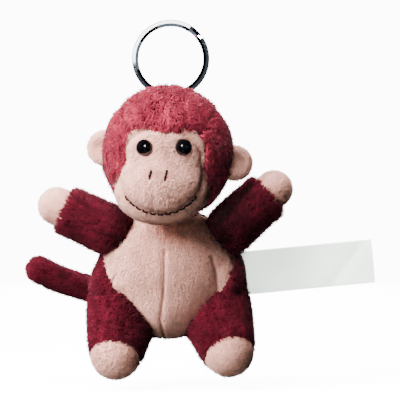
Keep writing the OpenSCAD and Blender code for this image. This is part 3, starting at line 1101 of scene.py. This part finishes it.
def make_limbs():
    def shown(p):
        return np.where(torso_body(p) > -0.4, 1.0, 0.0)

    for i, side in enumerate(("left", "right")):
        body, a, b = f"arm_{side}", SHOULDER[side], HAND[side]
        sleeve, hand = parted(a, b, CUFF[side])
        panels = [
            # painted shade and light: the left sleeve's tone -0.7 paints shade, the right sleeve's
            # tone 0.5 paints light
            Panel(f"sleeve_{side}", body, False, 2.3, sleeve, 41 + i, (-0.7, 0.5)[i]),
            Panel(f"hand_{side}", body, True, 1.15, hand, 43 + i),
        ]
        ends = (a, b, SHOULDER_R, HAND_R)
        make_limb(body, arm_sdf(side), *ends, CUFF[side], panels, shown, 1.0)
        body, a, b = f"leg_{side}", HIP[side], FOOT[side]
        length = np.linalg.norm(b - a)
        leg, foot = parted(a, b, length)
        panels = [
            Panel(f"leg_{side}_panel", body, False, 2.3, leg, 51 + i),
            # painted light: the feet's tone 1.0 makes their pile lighter
            Panel(f"foot_{side}", body, True, 1.2, foot, 53 + i, 1.0),
        ]
        make_limb(body, leg_sdf(side), a, b, HIP_R, FOOT_R, length, panels, shown, 0.12)


def make_tail():
    pad = TAIL_R + 2
    low, high = TAIL_LINE.min(0) - pad, TAIL_LINE.max(0) + pad
    verts, faces = surface_net(tail_sdf, low, high, CELL * 0.7)
    panels = [Panel("tail_cover", "tail", False, 1.8, lambda p: np.ones(len(p), bool), 61, -0.5)]
    along = unit(TAIL_TIP - TAIL_ROOT)
    normals = dress(panels, verts, faces, brush(along), lambda p: np.ones(len(p)))
    filling("tail_filling", "tail_stuffing", "tail", verts, faces, normals)


# ---- ring, loop and label ----


def make_ring():
    """One flat wire wound twice: it steps to the front turn where the ends overlap."""
    crossing = math.radians(45)
    width = math.radians(26)
    gap = math.radians(5)
    mean = RING_OUT - WIRE_W / 2
    steps = 560
    turn = np.linspace(gap, 4 * math.pi - gap, steps)
    # the step lies one full turn from each end
    t = np.clip((turn - 2 * math.pi + width / 2) / width, 0, 1)
    layer = (t * t * (3 - 2 * t) - 0.5) * WIRE_T * 1.02
    angle = crossing - turn
    line_x, line_z = np.cos(angle), np.sin(angle)
    away = np.minimum(turn - gap, 4 * math.pi - gap - turn) * mean
    taper = np.clip(0.35 + away / 2.2, 0, 1)
    # the wire's section: flat faces, a broad bevel inside and a small one outside
    front = [(-1, -0.45), (-0.1, -1), (0.78, -1), (1, -0.7)]
    section = front + [(across, -deep) for across, deep in reversed(front)]
    corners = len(section)
    points = []
    for across, deep in section:
        r = mean + 1.12 * WIRE_W / 2 * across * taper
        y = layer + WIRE_T / 2 * 0.97 * deep * (0.6 + 0.4 * taper)
        points.append(RING_C + np.stack([r * line_x, y, r * line_z], -1))
    points = np.stack(points, 1).reshape(-1, 3)
    caps = [np.arange(corners)[None, ::-1], (steps - 1) * corners + np.arange(corners)[None]]
    walls = wall_quads(steps, corners)
    obj = make_mesh("split_ring_coil", points, [walls, *caps], smooth=False)
    obj.data.materials.append(CHROME)
    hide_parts("split_ring")
    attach(obj, "ring")


def make_loop():
    """A folded ribbon round the wire, its edges thicker than its middle."""
    centre = middle("ring_loop")
    rows, across = 72, 13
    u = np.linspace(0, 2 * math.pi, rows, endpoint=False)
    x = np.linspace(-2, 2, across)
    shell = []
    for face in (0, 1):
        r = 2.25 + 0.5 * face + 0.04 * (face * 2 - 1) * (np.abs(x) > 1.6)
        wide = np.broadcast_to(x, (rows, across))
        shell.append(np.stack([wide, np.sin(u)[:, None] * r, np.cos(u)[:, None] * r], -1))
    points = np.concatenate([s.reshape(-1, 3) for s in shell]) + centre
    n = rows * across
    i, j = np.meshgrid(np.arange(rows), np.arange(across - 1), indexing="ij")
    i, j = i.ravel(), j.ravel()
    k = (i + 1) % rows
    inner = np.stack([i * across + j, k * across + j, k * across + j + 1, i * across + j + 1], -1)
    outer = inner[:, ::-1] + n
    i = np.arange(rows)
    k = (i + 1) % rows
    first = np.stack([i * across, i * across + n, k * across + n, k * across], -1)
    last = np.stack([i, k, k, i], -1) * across + across - 1 + [0, 0, n, n]
    obj = make_mesh("ring_loop_ribbon", points, np.concatenate([inner, outer, first, last]))
    obj.data.materials.append(RIBBON)
    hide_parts("ring_loop")
    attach(obj, "loop")


LABEL_LENGTH, LABEL_WIDTH, LABEL_THICK = 48.5, 16.0, 0.22
LABEL_RISE = math.radians(5.5)
PICOT, PICOT_STEP = 0.2, 0.97


def make_label():
    """A blank satin ribbon with picot edges, gently creased, that comes out of the side seam."""
    root = joint_mm("label_flap")
    rise, half = LABEL_RISE, LABEL_THICK / 2
    columns, rows = 195, 33
    s = np.linspace(0, LABEL_LENGTH, columns)[:, None]
    w = np.linspace(-0.5, 0.5, rows)[None, :]
    teeth = PICOT * np.sin(s * 2 * math.pi / PICOT_STEP)
    across = w * LABEL_WIDTH + np.where(np.abs(w) > 0.49, np.sign(w) * teeth, 0)
    wave = 0.55 * np.sin(s / 11 + w * 1.4) + 0.35 * np.sin((s + across * 1.1) / 5.2)
    crease = -0.6 * np.exp(-(((s - 18 - across * 0.75) / 4.0) ** 2))
    crease += 0.5 * np.exp(-(((s - 39 - across * 0.9) / 3.2) ** 2))
    y = (wave + crease) * np.clip(s / 8, 0, 1)
    x = np.broadcast_to(s, y.shape)
    z = np.broadcast_to(across, y.shape)
    cosine, sine = math.cos(rise), math.sin(rise)
    sheet = np.stack([x * cosine - z * sine, y, x * sine + z * cosine], -1)
    sheet = sheet.reshape(-1, 3) + root
    i, j = np.meshgrid(np.arange(columns - 1), np.arange(rows - 1), indexing="ij")
    i, j = i.ravel(), j.ravel()
    quads = np.stack([i * rows + j, (i + 1) * rows + j, (i + 1) * rows + j + 1, i * rows + j + 1], -1)
    normals = point_normals(sheet, quads)
    points = np.concatenate([sheet + normals * half, sheet - normals * half])
    obj = make_mesh("label_ribbon", points, shell_faces(quads, len(sheet)))
    obj.data.materials.append(SATIN)
    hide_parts("label")
    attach(obj, "label")


# ---- stage ----


VIEW_WIDTH = 0.1454
AIM = (0.01069, -0.004, -0.0636)
WHITE_GLOW = 12  # the world and the floor, which only the camera sees
LIGHT_TARGET = (0.0, 0.0, -0.07)
# name, place, size, power and colour: lights without a reflection of their own
LIGHTS = (
    ("key", (-0.62, -0.48, 0.36), 0.45, 36, (1, 0.985, 0.97)),
    ("top", (-0.12, -0.28, 0.72), 0.4, 17, (1, 1, 1)),
    ("front_fill", (-0.3, -0.75, -0.35), 0.6, 3.6, (0.95, 1, 0.95)),
    ("rim_left", (-0.6, 0.5, 0.2), 0.5, 3, (0.97, 1, 0.98)),
    ("behind", (0.0, 0.9, 0.25), 0.7, 6, (1, 1, 1)),
    ("rim_right", (0.5, 0.55, 0.35), 0.4, 6, (0.97, 1, 0.98)),
)
# cards that only show as reflections in the chrome, the eyes and the satin
CARDS = (
    ("ring_card", (-0.036, -0.45, 0.072), 0.12, 0.24, (1, 1, 1)),
    ("eye_card", (-0.06, -0.44, 0.105), 0.1, 2.4, (1, 1, 1)),
    ("front_card", (0.1, -0.9, 0.1), 0.9, 0.16, (0.65, 0.82, 1)),
    ("blue_card", (-0.055, -0.46, -0.03), 0.085, 0.035, (0.6, 0.78, 1)),
    ("bevel_card", (0.45, -0.45, -0.02), 0.4, 0.12, (0.65, 0.8, 1)),
    ("low_card", (0.0, -0.45, -0.45), 0.4, 0.12, (0.65, 0.8, 1)),
    ("back_card", (-0.1, 0.9, 0.15), 0.9, 1.2, (0.85, 0.93, 1)),
    ("left_card", (-0.7, -0.1, 0.2), 0.5, 0.08, (0.75, 0.88, 1)),
    ("right_card", (0.7, 0.1, 0.1), 0.4, 0.08, (0.75, 0.88, 1)),
)


def make_camera():
    data = bpy.data.cameras.new("camera")
    data.lens = 200
    data.sensor_width = 36
    camera = placed("camera", data)
    distance = VIEW_WIDTH * data.lens / data.sensor_width
    camera.location = (AIM[0], AIM[1] - distance, AIM[2])
    camera.rotation_euler = (math.pi / 2, 0, 0)
    bpy.context.scene.camera = camera


def make_light(name, place, target, size, power, colour):
    data = bpy.data.lights.new(name, "AREA")
    data.shape = "DISK"
    data.size = size
    data.energy = power
    data.color = colour
    light = placed(name, data)
    light.location = place
    way = np.array(target, float) - np.array(place, float)
    tilt = math.acos(-way[2] / np.linalg.norm(way))
    light.rotation_euler = (tilt, 0, math.atan2(way[1], way[0]) - math.pi / 2)
    light.visible_camera = False
    return light


def make_stage():
    world = bpy.data.worlds.new("studio")
    bpy.context.scene.world = world
    world.use_nodes = True
    background = world.node_tree.nodes["Background"]
    set_inputs(background, {"Color": (1, 1, 1, 1), "Strength": WHITE_GLOW})
    world.cycles_visibility.diffuse = False
    world.cycles_visibility.glossy = False
    floor_z = cad_box[0][2] - 0.004
    mesh = bpy.data.meshes.new("floor")
    r = 3.0
    corners = [(-r, -r, floor_z), (r, -r, floor_z), (r, r, floor_z), (-r, r, floor_z)]
    mesh.from_pydata(corners, [], [(0, 1, 2, 3)])
    floor = placed("floor", mesh)
    material, _, shader = nodes_of("floor")
    set_inputs(shader, {"Base Color": (0.95, 0.95, 0.95, 1), "Roughness": 0.9})
    set_inputs(shader, {"Emission Color": (1, 1, 1, 1), "Emission Strength": WHITE_GLOW})
    floor.data.materials.append(material)
    floor.visible_diffuse = False
    floor.visible_glossy = False
    for name, place, *rest in LIGHTS:
        make_light(name, place, LIGHT_TARGET, *rest).visible_glossy = False
    for name, place, *rest in CARDS:
        make_light(name, place, LIGHT_TARGET, *rest).visible_diffuse = False
    # the label hangs in the body's shade, so it has a small light of its own
    place, target = (0.25, -0.6, 0.15), (0.05, 0.01, -0.09)
    light = make_light("label_light", place, target, 0.3, 12, (0.95, 1, 0.95))
    light.visible_glossy = False
    lit = bpy.data.collections.new("label_only")
    lit.objects.link(bpy.data.objects["label_ribbon"])
    light.light_linking.receiver_collection = lit


make_ring()
make_loop()
make_head()
stitches("nostril_thread", "nostril_stitches", nostril_lines(), 0.36)
stitches("mouth_thread", "mouth_stitches", mouth_lines(), 0.27)
make_eyes()
make_ears()
make_torso()
make_limbs()
make_tail()
make_label()
make_camera()
make_stage()
